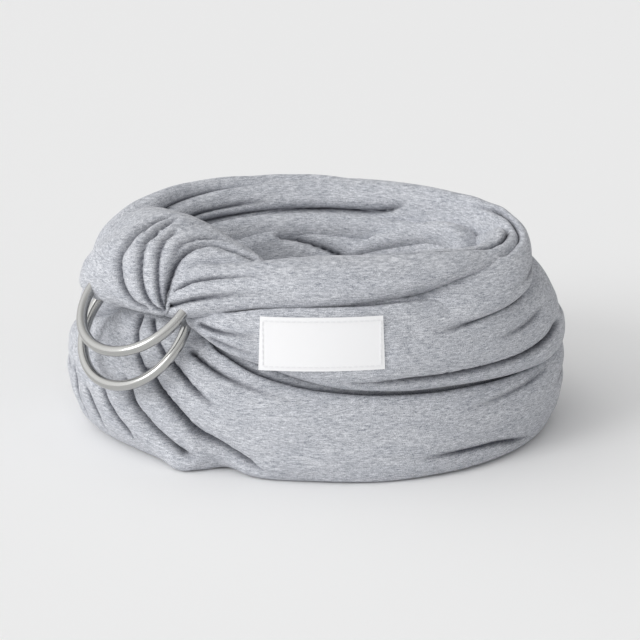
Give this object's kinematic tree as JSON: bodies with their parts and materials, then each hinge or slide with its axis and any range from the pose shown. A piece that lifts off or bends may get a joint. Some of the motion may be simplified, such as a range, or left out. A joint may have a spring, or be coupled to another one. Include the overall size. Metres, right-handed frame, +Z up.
{
  "type": "soft baby carrier",
  "caption": "Ring sling baby carrier wound into a low oval coil of grey jersey, its gathered end folded round two metal rings, with a blank label on the front.",
  "frame": {"origin": "middle of the bounding box, on the floor that the coil lies on", "axes": "+X along the coil's long side, to the right when facing the label; +Y away from the label, towards the back; +Z up"},
  "size_m": [0.3408, 0.2918, 0.149],
  "materials": {
    "jersey": "heather grey knitted jersey, matt",
    "ring_metal": "satin, lightly polished",
    "label_cloth": "fine white woven tape, matt",
    "white_thread": "white sewing thread",
    "grey_thread": "grey sewing thread"
  },
  "bodies": {
    "coil": {"lower_wrap": "jersey", "middle_wrap": "jersey", "upper_wrap": "jersey", "inner_wrap": "jersey", "tail_end": "jersey", "ring_pleats": "jersey", "shoulder_gather": "jersey", "label": "label_cloth", "label_stitching": "white_thread"},
    "ring_fold": {"ring_fold": "jersey", "fold_stitching": "grey_thread"},
    "ring_back": {"ring_back": "ring_metal"},
    "ring_front": {"ring_front": "ring_metal"}
  },
  "joints": [
    {"name": "fold_lift", "type": "hinge", "parent": "coil", "child": "ring_fold", "pos_m": [-0.08991, -0.06524, 0.131], "axis": [-0.7604, 0.6494, 0], "range_deg": [0, 35]},
    {"name": "ring_back_turn", "type": "hinge", "parent": "ring_fold", "child": "ring_back", "pos_m": [-0.11606, -0.08985, 0.0892], "axis": [-0.5145, -0.6025, 0.6101], "continuous": true},
    {"name": "ring_front_turn", "type": "hinge", "parent": "ring_fold", "child": "ring_front", "pos_m": [-0.11339, -0.09411, 0.1097], "axis": [-0.4295, -0.5029, 0.7501], "continuous": true}
  ]
}
